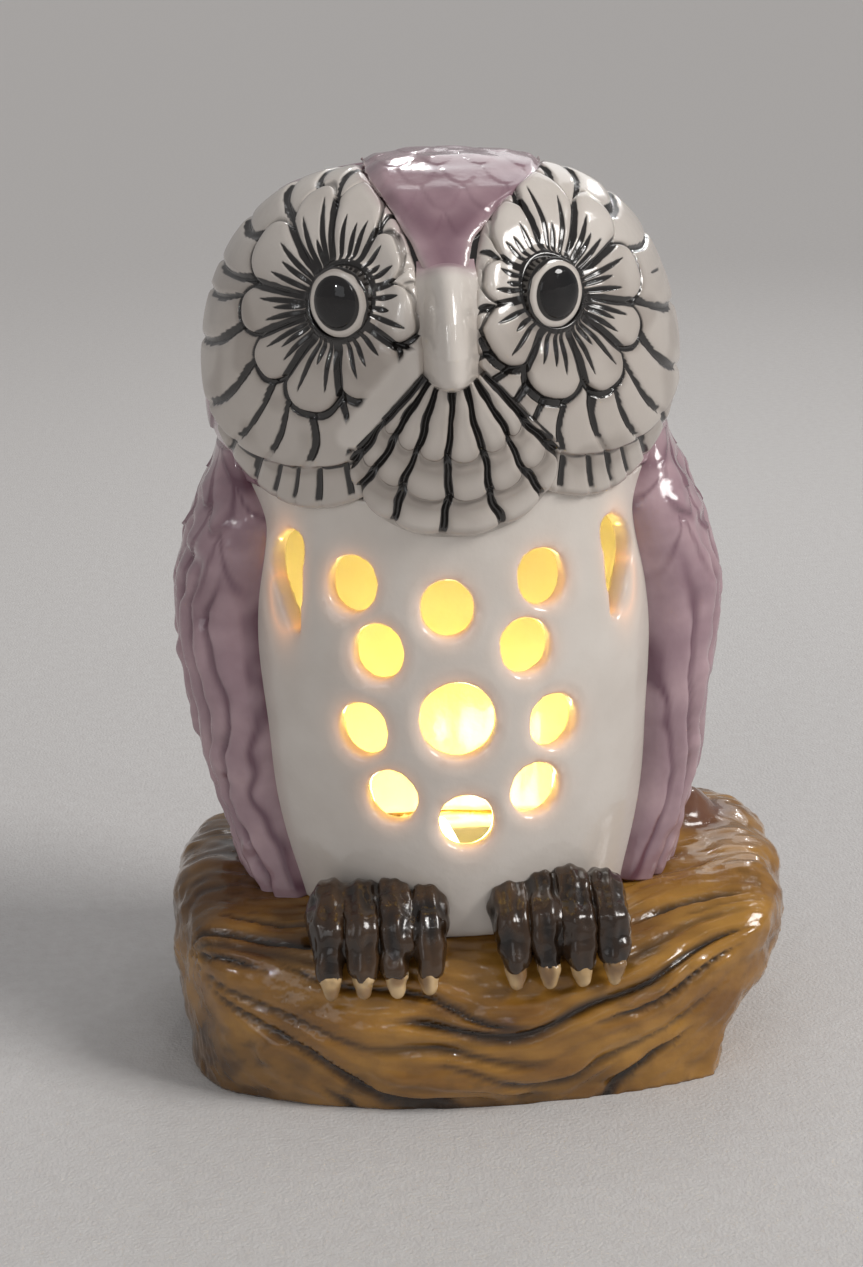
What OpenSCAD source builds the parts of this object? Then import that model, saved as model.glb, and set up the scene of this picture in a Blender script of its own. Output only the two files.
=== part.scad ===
// Owl figurine: a hollow glazed-ceramic owl on a log, pierced so that a battery tea light standing
// inside it shines through. The owl faces -Y, and the table it stands on is the plane z = 0.

/* [Owl] */
// Height of the crown above the table
head_top = 148; // [147.4:0.1:148.6]
// Thickness of the cast ceramic wall
wall = 3.8; // [3.2:0.1:4.4]
// Height of the neck, where the head casting meets the body casting
neck_z = 100; // [99:0.5:101]

/* [Light openings] */
// Width of a small round opening
small_hole = 8.2; // [7:0.1:9]
// Width of the large round opening
large_hole = 11.8; // [11:0.1:12.6]
// How much taller than wide each round opening is
hole_stretch = 0.8; // [0.4:0.1:1.2]

/* [Face] */
// Height of the eyes
eye_z = 130; // [129:0.5:131]
// Distance of each eye from the middle
eye_x = 16.2; // [15.8:0.1:16.6]
// Thickness of the face discs
disc_t = 2.6; // [2.2:0.1:3]
// Radius of an eyeball
eye_r = 5.3; // [5:0.1:5.6]
// Radius of a pupil
pupil_r = 4; // [3.8:0.1:4.2]

/* [Log] */
// Length of the log from end to end
log_length = 104; // [102:1:106]
// Depth of the log from front to back
log_depth = 82; // [80:1:84]

/* [Tea light] */
// Diameter of the tea light's cup
cup_d = 37; // [36:0.5:38]
// Height of the tea light's cup
cup_h = 16; // [15:0.5:17]
// Height of the flame-shaped diffuser above the cup
flame_h = 22.5; // [20:0.5:23]
// Diameter of the coin cell
cell_d = 20; // [20:1:20]
// Thickness of the coin cell
cell_t = 3.2; // [3.2:0.1:3.2]
// Travel of the switch
switch_travel = 2.4; // [2:0.1:2.6]

/* [Hidden] */

SEG = 36;                        // sides of a loft ring
FINE = 48;                       // sides of a plain round shape
LUMP = 14;                       // sides of the round ends inside a hull
gap = 0.12;                      // hairline between an eye and its socket
far = 80;                        // longer than anything that a cutter goes through
base_z = 9;                      // lowest ring of the owl's own form, inside the log
shell_z = 14;                    // where the body casting starts, inside the log
open_bottom = -10;               // how far a cavity runs on below the table

// The owl's form: height, half width, depth in front, depth behind, and squareness in front.
FORM = [[base_z, 29.4, 27.8, 26.6, 2], [26, 31.5, 30, 28, 2], [40, 34, 32, 29.5, 2], [55, 36, 33.6, 31, 2],
    [68, 36.8, 34.2, 32, 2], [80, 36.2, 33.4, 32, 2], [92, 34.6, 31.8, 31.5, 2], [100, 35, 32, 31.5, 1.95],
    [108, 37.6, 34.4, 32.5, 1.85], [118, 37.6, 36, 33.5, 1.8], [128, 35.4, 35.6, 33.5, 1.8],
    [136, 31.6, 32, 30.5, 1.85], [141.5, 26.6, 26.6, 25.6, 1.9], [145.4, 20, 19.5, 19, 2],
    [head_top - 0.6, 9.5, 9.5, 9.5, 2]];
RINGS = [base_z, 18, 26, 34, 44, 54, 64, 74, 84, 91, 97, 103, 109, 115, 121, 127, 133, 137.5, 141, 144, 146.2,
    head_top - 0.6];

// Light openings: distance from the middle, height, and width.
PAIRS = [[14.8, 86, small_hole], [11.1, 75.5, small_hole], [15.2, 62.6, small_hole], [11, 51.4, small_hole]];
CENTRES = [[82.3, small_hole], [64.3, large_hole], [46.9, small_hole + 0.4]];
crescent_x = 36;
crescent_z = 85.3;
hole_lean = 2.7;                 // the pattern leans towards the owl's right, about its lowest row
hole_row = 50;
punch_y = 4;                     // the openings point away from this distance in front of the axis

// Face discs: each faces outwards like its eye. Its outline is an ellipse across the way it faces.
disc_turn = 34;
disc_u = 5;                      // how far its middle lies outwards of the way it faces
disc_z = 122.6;
disc_a = 22.4;
disc_b = 25;
ridge_half = 3.2;                // half width of the strip between the discs
eye_turn = 30;                   // how far each eye looks outwards
eye_y = 30.1;                    // where each eye's axis meets the head
eye_back = 0;                    // back and front of the eyeball along its axis
eye_front = 4;
pupil_seat = 1;                  // depth of the pupil's seat in the eyeball
petals = 10;
bib_top = 117;
brow_low = 134.6;                // lowest point of the brow's V

// The brow's V, from its foot up: height, left edge and right edge. It is wider to the right.
BROW = [[brow_low, -3.2, 3.2], [139, -5.2, 4.4], [143, -8, 9.6], [146.4, -11, 17], [head_top + 8, -15, 24]];

// Chin bib, row by row: extra thickness, inner and outer radius, half-angle, count and feather radius.
BIB = [[1.2, 8, 18.2, 50, 7, 2.6], [0.4, 10, 24.8, 56, 8, 3], [-0.4, 12, 30.6, 52, 9, 3.2]];

// Log, with shares of its half length from the left-hand end to the right, and its knots.
log_half = log_length / 2;
log_front = log_depth / 2;
BARK = 32;                       // sides of a bark ring
STATIONS = [-1, -0.985, -0.96, -0.93, -0.9, -0.87, -0.82, -0.74, -0.63, -0.5, -0.34, -0.15, 0.05, 0.25, 0.43, 0.58,
    0.7, 0.77, 0.82, 0.86, 0.9, 0.95, 0.985, 1];
KNOTS = [[-37, -22, 21, 6], [-28, -33, 9, 5], [-8, -38, 6, 3.5], [16, -37, 9, 4], [31, -30, 12, 5],
    [44, -14, 24, 5], [-36, 22, 12, 5], [30, 27, 10, 5]];
under = 6;                       // the slab is rounded off this far below the table, where it is cut level
branch_rise = 10.4;              // how far the ends turn up
branch_t = 16;                   // half its height in the middle, measured upwards
branch_thin = 5.8;               // how much thinner the ends are
log_x = 3;                       // the log reaches further on the right
slab_left = -49;                 // ends of the slab at the table
slab_right = 36.5;
slab_fade = 5;                   // over this distance beyond them it blends into the branch

// Wing feathers: shoulder, side and tip of each, and its radius.
WING_FEATHERS = [[[-31, -11, 88], [-34, -11, 66], [-33, -8, 34], 5], [[-35, -4, 90], [-38.4, -3, 66],
    [-35.6, -1, 31], 5.6], [[-36, 4, 90], [-38.8, 6, 68], [-35.4, 7, 33], 5.8], [[-33, 13, 90],
    [-35.6, 15, 72], [-30, 16, 38], 5.8], [[-26, 20, 90], [-28, 22, 76], [-23, 22, 46], 5.6]];

// Feet and their toes.
foot_x = 14.7;
toes = 4;
toe_pitch = 5.2;

// Tea light.
tealight_x = -3;                 // the tea light stands a little to one side
cup_r = cup_d / 2;
cup_wall = 1.2;
flame_r = 5.6;
flame_wall = 0.9;
flame_z = cup_h - 3.6;           // foot of the flame
flame_steps = 14;
collar_r = 6.6;
base_bottom = 0.4;
base_t = 1.6;
ledge_z = 0.9;                   // top of the ledge that the door's lugs turn over
door_gap = 0.3;
door_r = 11.4;
door_t = 1.5;
lug_r = 12.7;
lug_angle = 14;                  // half the angle that a lug spans
door_turn = 45;                  // how far the door turns before it comes out
cell_z = 2.2;                    // underside of the coin cell
strip_t = 0.3;
minus_z = cell_z + cell_t + strip_t;
plus_z = minus_z + 0.8;
deck_t = 1;
deck_top = 7.8;
lead_x = 1.27;
lead_w = 0.5;
slider_x = 15.15;
knob_l = 2.4;
slot_w = 2.2;
slot_l = knob_l + switch_travel + 0.6;

// ---------- curves and lofts ----------

// Slope of column c of table t at row i.
function slope(t, i, c) =
    let (a = max(i - 1, 0), b = min(i + 1, len(t) - 1)) (t[b][c] - t[a][c]) / (t[b][0] - t[a][0]);

// Smooth curve through column c of table t, at the value v of its first column.
function curve(t, v, c, i = 0) =
    i < len(t) - 2 && v > t[i + 1][0] ? curve(t, v, c, i + 1)
    : let (h = t[i + 1][0] - t[i][0], s = min(max((v - t[i][0]) / h, 0), 1))
        (2 * s ^ 3 - 3 * s ^ 2 + 1) * t[i][c] + (s ^ 3 - 2 * s ^ 2 + s) * h * slope(t, i, c)
        + (3 * s ^ 2 - 2 * s ^ 3) * t[i + 1][c] + (s ^ 3 - s ^ 2) * h * slope(t, i + 1, c);

function power(v, n) = sign(v) * pow(abs(v), 2 / n);

// One ring of the owl's form at height z, grown outwards by g.
function form_ring(z, g) =
    let (a = curve(FORM, z, 1) + g, f = curve(FORM, z, 2) + g, b = curve(FORM, z, 3) + g, n = curve(FORM, z, 4))
        [for (k = [0:SEG - 1]) let (q = 360 * (k + 0.5) / SEG, s = sin(q))
            [a * power(cos(q), s < 0 ? n : 2), s < 0 ? f * power(s, n) : b * s, z]];

// Joins equal rings into one closed solid. The first ring and the last end in a flat or pointed cap.
module loft(rings) {
    n = len(rings[0]);
    m = len(rings);
    points = [for (r = rings) each r];
    sides = [for (i = [0:m - 2], k = [0:n - 1]) let (p = i * n + k, q = i * n + (k + 1) % n)
        each [[p, p + n, q], [q, p + n, q + n]]];
    first = [for (k = [0:n - 1]) k];
    last = [for (k = [n - 1:-1:0]) (m - 1) * n + k];
    polyhedron(points, concat(sides, [first], [last]), convexity = 6);
}

// The owl's form, grown outwards by g, with the top of the dome closed.
module owl_form(g = 0) {
    rings = [for (z = RINGS) let (up = z + g * max(z - 136, 0) / (head_top - 136))
        [for (p = form_ring(z, g)) [p.x, p.y, up]]];
    tip = [for (k = [0:SEG - 1]) let (q = 360 * (k + 0.5) / SEG) [2 * cos(q), 2 * sin(q), head_top + g]];
    loft(concat(rings, [tip]));
}

// Everything between two heights.
module band(low, high) {
    translate([-far, -far, low]) cube([2 * far, 2 * far, high - low]);
}

// A prism through the front of the owl, from a flat outline drawn in x and z.
module through_front() {
    rotate([90, 0, 0]) linear_extrude(far) children();
}

// The left side as it is, and the right side as its mirror image. Left is -x, as seen from the front.
module side(left) {
    if (left) children();
    else mirror([1, 0, 0]) children();
}

// One glazed casting: a single closed solid made of small facets.
module casting() {
    resize([0, 0, 0]) children();
}

// ---------- log ----------

// How far the branch closes in towards its ends, and the height of its middle.
function branch_close(x) = let (e = max(abs(x) - (log_half - 9), 0) / 9) sqrt(max(1 - e * e * 0.72, 0.02));
function branch_z(x) = 12.6 + branch_rise * (x / log_half) ^ 2;

// 1 over the low slab that the log stands on, falling to 0 beyond its ends.
function over_slab(x, g) =
    let (out = max(slab_left - g - x, x - slab_right - g), t = min(max(1 - out / slab_fade, 0), 1))
    t * t * (3 - 2 * t);

// One cross-section of the log, rippled like bark and grown outwards by g.
// Over the slab it runs down to bottom.
function log_ring(x, g, bottom) =
    let (c = branch_close(x), top = (branch_t - branch_thin * (x / log_half) ^ 2) * c + g,
        d = (log_front - 15 * (abs(x) / log_half) ^ 2.2) * c + g, s = over_slab(x, g),
        low = s * (branch_z(x) - bottom) + (1 - s) * top)
        [for (k = [0:BARK - 1])
            let (q = 360 * (k + 0.5) / BARK, w = 1 + 0.022 * cos(8 * q + 3 * x), up = sin(q) > 0)
            [x + log_x, d * w * power(cos(q), up ? 2.5 : 2.5 + 3 * s),
                branch_z(x) + (up ? top * w : low) * power(sin(q), up ? 2.3 : 2.3 + 3 * s)]];

// The log's form: an upturned branch on a low slab, grown outwards by g and cut off level at the bottom.
module log_form(g = 0, bottom = 0) {
    intersection() {
        loft([for (s = STATIONS) log_ring(s * (log_half + g), g, bottom - under)]);
        band(bottom, far);
    }
}

// A broken-off side branch on the right-hand end.
module branch_stub() {
    hull() {
        translate([36, 2, 24]) sphere(9, $fn = 20);
        translate([41, 5, 31.5]) sphere(5, $fn = 20);
    }
}

// Low swellings in the bark: each has its middle and its size.
module log_knots() {
    for (k = KNOTS) hull() {
        translate([k[0] - 5, k[1], k[2]]) sphere(k[3] * 0.6, $fn = LUMP);
        translate([k[0] + 5, k[1], k[2] + 1]) sphere(k[3] * 0.6, $fn = LUMP);
    }
}

// The log without its hollow.
module log_solid() {
    log_form();
    branch_stub();
    log_knots();
}

// The space inside the owl, carried straight down where it is below the owl's own form.
module owl_cavity() {
    owl_form(-wall);
    translate([0, 0, open_bottom]) linear_extrude(base_z + 1 - open_bottom)
        polygon([for (p = form_ring(base_z, -wall)) [p.x, p.y]]);
}

module perch_log() {
    color("saddlebrown") casting() difference() {
        log_solid();
        log_form(-wall, open_bottom);
        owl_cavity();
    }
}

// ---------- shells ----------

// Turns a shape standing on the axis at height z so that it points out through the front at distance x.
module pointing_out(x, z) {
    turn = atan(x / (curve(FORM, z, 2) - punch_y));
    translate([0, 0, z]) rotate([90, 0, turn]) translate([0, 0, 10]) children();
}

// A round opening, a little taller than wide. Higher ones lie further to one side.
module round_opening(x, z, d) {
    pointing_out(x - (z - hole_row) * tan(hole_lean), z) hull() for (s = [-1, 1])
        translate([0, s * hole_stretch / 2, 0])
        cylinder(d = d, h = far / 2, $fn = 24);
}

// The right-hand crescent opening: straight towards the middle, bowed away from it.
module crescent_opening() {
    pointing_out(crescent_x, crescent_z) linear_extrude(far / 2) intersection() {
        hull() {
            translate([-0.4, 3]) circle(4.6, $fn = 30);
            translate([-0.9, 4.6]) circle(3.5, $fn = 24);
            translate([-2.4, -7.6]) circle(0.9, $fn = 12);
        }
        translate([-3.2, -far / 2]) square([far, far]);
    }
}

// All the light openings in the front of the owl.
module openings() {
    for (c = CENTRES) round_opening(0, c[0], c[1]);
    for (p = PAIRS, s = [-1, 1]) round_opening(s * p[0], p[1], p[2]);
    crescent_opening();
    mirror([1, 0, 0]) crescent_opening();
}

module body_shell() {
    color("whitesmoke") casting() difference() {
        intersection() {
            owl_form();
            band(shell_z, neck_z);
        }
        owl_form(-wall);
        log_solid();
        openings();
    }
}

module head_shell() {
    color("plum") casting() difference() {
        intersection() {
            owl_form();
            band(neck_z, far * 2);
        }
        owl_form(-wall);
    }
}

// ---------- face ----------

// Everything in front of the left face disc's outline. It ends beside the nose.
module disc_reach() {
    difference() {
        rotate([90, 0, -disc_turn]) translate([-disc_u, disc_z, 0]) scale([disc_a / disc_b, 1, 1])
            cylinder(r = disc_b, h = far, $fn = FINE);
        translate([-ridge_half, -far, 0]) cube([far, 2 * far, 2 * far]);
    }
}

// Everything in front of the brow's V.
module brow_reach() {
    through_front() polygon(concat([for (b = BROW) [b[2], b[0]]],
        [for (k = [len(BROW) - 1:-1:0]) [BROW[k][1], BROW[k][0]]]));
}

// Everything in front of the petals round the left eye.
module petal_reach() {
    on_eye_axis() linear_extrude(far) for (k = [0:petals - 1]) rotate(360 * k / petals + 18) hull() {
        translate([6, 0]) circle(2, $fn = 12);
        translate([11.4, 0]) circle(3.7, $fn = 16);
    }
}

// An eye is turned about its own axis, which leans outwards. The axis starts on the head's surface.
module on_eye_axis() {
    translate([-eye_x + 1.4, -eye_y, eye_z]) rotate([90, 0, -eye_turn]) children();
}

module face_disc(left) {
    side(left) color("ivory") casting() difference() {
        union() {
            intersection() {
                owl_form(disc_t);
                disc_reach();
            }
            intersection() {
                owl_form(disc_t + 1);
                petal_reach();
                disc_reach();
            }
        }
        side(left) {
            owl_form();
            brow_reach();
        }
        on_eye_axis() translate([0, 0, -5]) cylinder(r = eye_r + gap, h = far, $fn = FINE);
    }
}

// A low dome of radius r on a disc of thickness t.
module domed_disc(r, t) {
    cylinder(r = r, h = t, $fn = FINE);
    translate([0, 0, t]) rotate_extrude($fn = FINE) intersection() {
        translate([0, -r * 0.75]) circle(r * 1.25, $fn = FINE);
        square([r, r]);
    }
}

module eyeball(left) {
    side(left) on_eye_axis() color("beige") difference() {
        translate([0, 0, eye_back]) domed_disc(eye_r, eye_front - eye_back);
        translate([0, 0, eye_front - pupil_seat]) cylinder(r = pupil_r, h = far, $fn = FINE);
    }
}

module pupil(left) {
    side(left) on_eye_axis() color("black") translate([0, 0, eye_front - pupil_seat])
        domed_disc(pupil_r, pupil_seat + 1.2);
}

// The crown comes down between the discs in a V.
module brow_ridge() {
    color("plum") casting() difference() {
        intersection() {
            owl_form(disc_t - 0.6);
            brow_reach();
        }
        owl_form();
    }
}

// A smooth nose between the discs, rounded off below in the beak's tip.
module beak() {
    color("linen") casting() difference() {
        union() {
            intersection() {
                owl_form(disc_t + 0.4);
                through_front() translate([0.02 - ridge_half, bib_top])
                    square([2 * ridge_half - 0.04, brow_low + 2 - bib_top]);
            }
            hull() {
                translate([0, -34.6, brow_low - 1]) sphere(3, $fn = 20);
                translate([0, -37, 128]) sphere(4.8, $fn = 24);
                translate([0, -38.6, 122.8]) sphere(4.6, $fn = 24);
            }
        }
        owl_form();
        brow_ridge();
    }
}

// A fan of feathers under the beak, seen from the front. Each feather is wider at its round end.
module bib_row(inner, outer, half_angle, count, r) {
    for (k = [0:count - 1]) let (q = half_angle * (2 * (k + 0.5) / count - 1))
        translate([0, bib_top + 8]) rotate(q) hull() {
            translate([0, -inner]) circle(r * 0.5, $fn = 12);
            translate([0, -outer + r]) circle(r, $fn = 16);
        }
}

module chin_bib() {
    color("ivory") casting() difference() {
        for (row = BIB) intersection() {
            owl_form(disc_t + row[0]);
            through_front() bib_row(row[1], row[2], row[3], row[4], row[5]);
        }
        owl_form();
        disc_reach();
        mirror([1, 0, 0]) disc_reach();
        translate([-ridge_half - 1, -far, bib_top]) cube([2 * ridge_half + 2, far, far]);
        beak();
    }
}

// ---------- wings, tail and feet ----------

// One long feather through three points.
module feather(a, b, c, r) {
    hull() {
        translate(a) sphere(r, $fn = LUMP);
        translate(b) sphere(r * 0.9, $fn = LUMP);
    }
    hull() {
        translate(b) sphere(r * 0.9, $fn = LUMP);
        translate(c) sphere(r * 0.5, $fn = LUMP);
    }
}

module wing(left) {
    side(left) color("plum") casting() difference() {
        union() {
            for (f = WING_FEATHERS) feather(f[0], f[1], f[2], f[3]);
            hull() {
                translate([-34, -2, 88]) sphere(9, $fn = 20);
                translate([-31, 12, 88]) sphere(8, $fn = 20);
                translate([-36, 0, 80]) sphere(8.6, $fn = 20);
            }
        }
        side(left) {
            owl_form();
            log_solid();
            openings();
        }
        disc_reach();
    }
}

module tail() {
    color("plum") casting() difference() {
        for (k = [-2:2]) feather([k * 3.6, 25.6, 68], [k * 5, 34.8, 34], [k * 5.6, 38.6, 9 + abs(k) * 2], 4.6);
        owl_form();
        log_solid();
    }
}

// Where toe k starts, bends and ends: it comes down over the front of the log.
function toe_at(k) = let (x = -foot_x + (k - (toes - 1) / 2) * toe_pitch, back = 0.35 * abs(k - 1.5))
    [[x * 0.98, -29.5 + back, 33.2 - back], [x, -35.4 + back, 30.2], [x * 1.01, -38.6 + back, 25]];

module foot(left) {
    side(left) color([0.2, 0.16, 0.13]) casting() difference() {
        for (k = [0:toes - 1]) let (t = toe_at(k)) feather(t[0], t[1], t[2], 3.6);
        side(left) {
            owl_form();
            log_solid();
        }
    }
}

module claws(left) {
    side(left) color("wheat") casting() difference() {
        for (k = [0:toes - 1]) let (t = toe_at(k)[2]) hull() {
            translate(t + [0, -0.2, -0.6]) sphere(1.7, $fn = 10);
            translate(t + [0, -0.6, -3.6]) sphere(0.8, $fn = 8);
        }
        for (k = [0:toes - 1]) let (t = toe_at(k)) feather(t[0], t[1], t[2], 3.6);
        side(left) {
            owl_form();
            log_solid();
        }
    }
}

// ---------- tea light ----------

module tealight() {
    translate([tealight_x, 0, 0]) children();
}

// White cup with a dished top and a collar that holds the flame.
module tealight_cup() {
    tealight() color("white") rotate_extrude($fn = FINE) polygon([
        [cup_r - cup_wall, 0], [cup_r, 0], [cup_r, cup_h - 0.6], [cup_r - 0.6, cup_h], [cup_r - 1.8, cup_h],
        [cup_r - 3, cup_h - 2], [collar_r + 1, cup_h - 2.8], [collar_r, cup_h - 0.4],
        [flame_r, cup_h - 0.4], [flame_r, flame_z], [flame_r - 0.9, flame_z],
        [flame_r - 0.9, flame_z - 1], [cup_r - 3, flame_z], [cup_r - cup_wall, flame_z - 1]]);
}

// Outer radius of the flame at height share s: nearly straight at the foot, drawn in to a point.
function flame_radius(s) = s < 0.3 ? flame_r : flame_r * cos((s - 0.3) / 0.7 * 84) ^ 0.8;

module flame_diffuser() {
    outside = [for (k = [0:flame_steps]) [flame_radius(k / flame_steps), flame_z + flame_h * k / flame_steps]];
    inside = [for (k = [flame_steps - 2:-1:0])
        [max(flame_radius(k / flame_steps) - flame_wall, 0.3), flame_z + flame_h * k / flame_steps]];
    tealight() color("gold") rotate_extrude($fn = FINE)
        polygon(concat(outside, [[0, flame_z + flame_h], [0, inside[0].y]], inside));
}

// Five-millimetre lamp: flange, barrel and domed lens.
module led_lamp() {
    tealight() color("orange") translate([0, 0, deck_top]) {
        cylinder(r = 2.9, h = 1, $fn = FINE);
        cylinder(r = 2.5, h = 7.1, $fn = FINE);
        translate([0, 0, 7.1]) sphere(2.5, $fn = FINE);
    }
}

// Two legs, from the lamp down to the contacts.
module led_leads() {
    tealight() color("silver") {
        translate([-lead_x - lead_w / 2, -lead_w / 2, minus_z]) cube([lead_w, lead_w, deck_top - minus_z]);
        translate([lead_x - lead_w / 2, -lead_w / 2, plus_z]) cube([lead_w, lead_w, deck_top - plus_z]);
    }
}

// Strip that comes over the cell and down its side.
module positive_contact() {
    tealight() color("silver") {
        translate([lead_x - 0.6, -2, plus_z - strip_t]) cube([cell_d / 2 + strip_t - lead_x + 0.6, 4, strip_t]);
        translate([cell_d / 2, -2, cell_z + 0.6]) cube([strip_t, 4, plus_z - cell_z - 0.6]);
    }
}

// Strip that presses on the middle of the cell's cap.
module negative_contact() {
    tealight() color("silver") translate([-8, -2, minus_z - strip_t]) cube([8 - lead_x + 0.6, 4, strip_t]);
}

// Coin cell: a wide can below and a narrower cap on top.
module coin_cell() {
    tealight() color("lightgray") translate([0, 0, cell_z]) {
        cylinder(d = cell_d, h = cell_t - 0.8, $fn = FINE);
        cylinder(d = cell_d - 2.6, h = cell_t, $fn = FINE);
    }
}

// Deck across the cup that carries the lamp, with a ring wall round the cell.
module cell_deck() {
    tealight() color("gainsboro") difference() {
        union() {
            translate([0, 0, deck_top - deck_t]) cylinder(r = cup_r - cup_wall, h = deck_t, $fn = FINE);
            translate([0, 0, cell_z + 0.2]) cylinder(d = cell_d + 2.6, h = deck_top - cell_z - 0.6, $fn = FINE);
        }
        translate([0, 0, cell_z - 1]) cylinder(d = cell_d + 0.2, h = deck_top - deck_t - cell_z + 1, $fn = FINE);
        translate([cell_d / 2 - 1, -2.3, cell_z - 1]) cube([2, 4.6, deck_top - deck_t - cell_z + 1]);
        for (s = [-1, 1]) translate([s * lead_x, 0, 0]) cylinder(r = 0.5, h = far, $fn = 24);
    }
}

// Two opposite lugs, or the notches for them, reaching radius r and a half-angle wide of w.
module lugs(r, w) {
    for (s = [0, 180]) rotate(s) polygon([[0, 0], [r * cos(w) * 1.1, -r * sin(w) * 1.1], [r * cos(w) * 1.1,
        r * sin(w) * 1.1]]);
}

// Flat underside plate with a stepped round opening for the door and a slot for the switch.
module tealight_base() {
    tealight() color("white") difference() {
        translate([0, 0, base_bottom]) cylinder(r = cup_r - cup_wall, h = base_t, $fn = FINE);
        translate([0, 0, -1]) cylinder(r = door_r + door_gap, h = far, $fn = FINE);
        translate([0, 0, ledge_z]) cylinder(r = lug_r + door_gap, h = far, $fn = FINE);
        rotate(door_turn) translate([0, 0, -1]) linear_extrude(far) intersection() {
            circle(lug_r + 2 * door_gap, $fn = FINE);
            lugs(lug_r + 1, lug_angle + 3);
        }
        translate([slider_x - slot_w / 2, -slot_l / 2, -1]) cube([slot_w, slot_l, far]);
    }
}

// Round door with two lugs and a coin slot across its underside.
module battery_door() {
    tealight() color("white") difference() {
        union() {
            translate([0, 0, base_bottom]) cylinder(r = door_r, h = door_t, $fn = FINE);
            translate([0, 0, ledge_z + door_gap]) linear_extrude(base_bottom + door_t - ledge_z - door_gap)
                intersection() {
                    circle(lug_r, $fn = FINE);
                    lugs(lug_r, lug_angle);
                }
        }
        translate([-5, -0.8, 0]) cube([10, 1.6, base_bottom + 0.7]);
    }
}

// Knob in the slot, on a wider plate that keeps it in.
module switch_slider() {
    tealight() color("black") translate([slider_x, -switch_travel / 2, 0]) {
        translate([-0.8, -knob_l / 2, 0.2]) cube([1.6, knob_l, 3]);
        translate([-1.4, -knob_l / 2 - 1, base_bottom + base_t + 0.3]) cube([2.8, knob_l + 2, 0.9]);
    }
}

body_shell();
head_shell();
brow_ridge();
face_disc(true);  // left_face_disc
face_disc(false);  // right_face_disc
eyeball(true);  // left_eyeball
eyeball(false);  // right_eyeball
pupil(true);  // left_pupil
pupil(false);  // right_pupil
beak();
chin_bib();
wing(true);  // left_wing
wing(false);  // right_wing
tail();
foot(true);  // left_foot
foot(false);  // right_foot
claws(true);  // left_claws
claws(false);  // right_claws
perch_log();
tealight_cup();
flame_diffuser();
led_lamp();
led_leads();
positive_contact();
negative_contact();
coin_cell();
cell_deck();
tealight_base();
battery_door();
switch_slider();
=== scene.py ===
import math

import bpy
import numpy as np
from mathutils import Matrix, Vector


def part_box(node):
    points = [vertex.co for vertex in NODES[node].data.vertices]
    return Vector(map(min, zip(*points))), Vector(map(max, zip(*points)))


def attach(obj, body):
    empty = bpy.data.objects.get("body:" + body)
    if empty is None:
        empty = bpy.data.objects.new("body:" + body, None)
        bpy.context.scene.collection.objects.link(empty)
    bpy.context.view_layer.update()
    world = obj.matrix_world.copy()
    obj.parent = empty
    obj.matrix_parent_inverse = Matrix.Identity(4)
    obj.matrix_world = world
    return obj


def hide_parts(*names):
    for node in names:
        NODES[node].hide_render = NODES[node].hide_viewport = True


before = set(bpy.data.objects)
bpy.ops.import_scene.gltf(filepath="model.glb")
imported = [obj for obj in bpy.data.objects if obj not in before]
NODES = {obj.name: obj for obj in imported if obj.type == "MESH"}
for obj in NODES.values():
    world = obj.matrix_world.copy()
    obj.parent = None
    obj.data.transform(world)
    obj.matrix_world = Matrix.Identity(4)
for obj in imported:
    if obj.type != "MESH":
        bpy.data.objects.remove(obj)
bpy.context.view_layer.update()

MM = 0.001

# The owl's upright form in mm, as in the CAD: height, half width, depth in front, depth behind, squareness.
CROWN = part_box("head_shell")[1].z / MM
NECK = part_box("head_shell")[0].z / MM
FORM = np.array([
    [9, 29.4, 27.8, 26.6, 2], [26, 31.5, 30, 28, 2], [40, 34, 32, 29.5, 2], [55, 36, 33.6, 31, 2],
    [68, 36.8, 34.2, 32, 2], [80, 36.2, 33.4, 32, 2], [92, 34.6, 31.8, 31.5, 2], [100, 35, 32, 31.5, 1.95],
    [108, 37.6, 34.4, 32.5, 1.85], [118, 37.6, 36, 33.5, 1.8], [128, 35.4, 35.6, 33.5, 1.8],
    [136, 31.6, 32, 30.5, 1.85], [141.5, 26.6, 26.6, 25.6, 1.9], [145.4, 20, 19.5, 19, 2],
    [CROWN - 0.6, 9.5, 9.5, 9.5, 2]])
WALL = 3.8
TURN = math.radians(34)          # how far each face disc looks outwards


# ---------- numbers ----------

def smooth(a, b, v):
    t = np.clip((v - a) / (b - a), 0, 1)
    return t * t * (3 - 2 * t)


def bell(v, width):
    return np.exp(-(v / width) ** 2)


def noise(p, size, seed=0.0):
    """Smooth random values from -1 to 1 at points p, with lumps of that size in mm."""
    q = p / size
    cell = np.floor(q)
    f = q - cell
    f = f * f * (3 - 2 * f)
    out = np.zeros(q.shape[:-1])
    for corner in np.ndindex(2, 2, 2):
        c = np.array(corner)
        h = np.sin((cell + c) @ np.array([12.9898, 78.233, 37.719]) + seed * 9.17) * 43758.5453
        out += (h - np.floor(h)) * np.prod(np.where(c, f, 1 - f), axis=-1)
    return out * 2 - 1


def curve(z, column):
    """A smooth curve through one column of FORM, as in the CAD."""
    t, v = FORM[:, 0], FORM[:, column]
    slope = np.empty(len(t))
    slope[1:-1] = (v[2:] - v[:-2]) / (t[2:] - t[:-2])
    slope[0] = (v[1] - v[0]) / (t[1] - t[0])
    slope[-1] = (v[-1] - v[-2]) / (t[-1] - t[-2])
    i = np.clip(np.searchsorted(t, z, "right") - 1, 0, len(t) - 2)
    h = t[i + 1] - t[i]
    s = np.clip((z - t[i]) / h, 0, 1)
    return ((2 * s**3 - 3 * s**2 + 1) * v[i] + (s**3 - 2 * s**2 + s) * h * slope[i]
            + (3 * s**2 - 2 * s**3) * v[i + 1] + (s**3 - s**2) * h * slope[i + 1])


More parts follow.
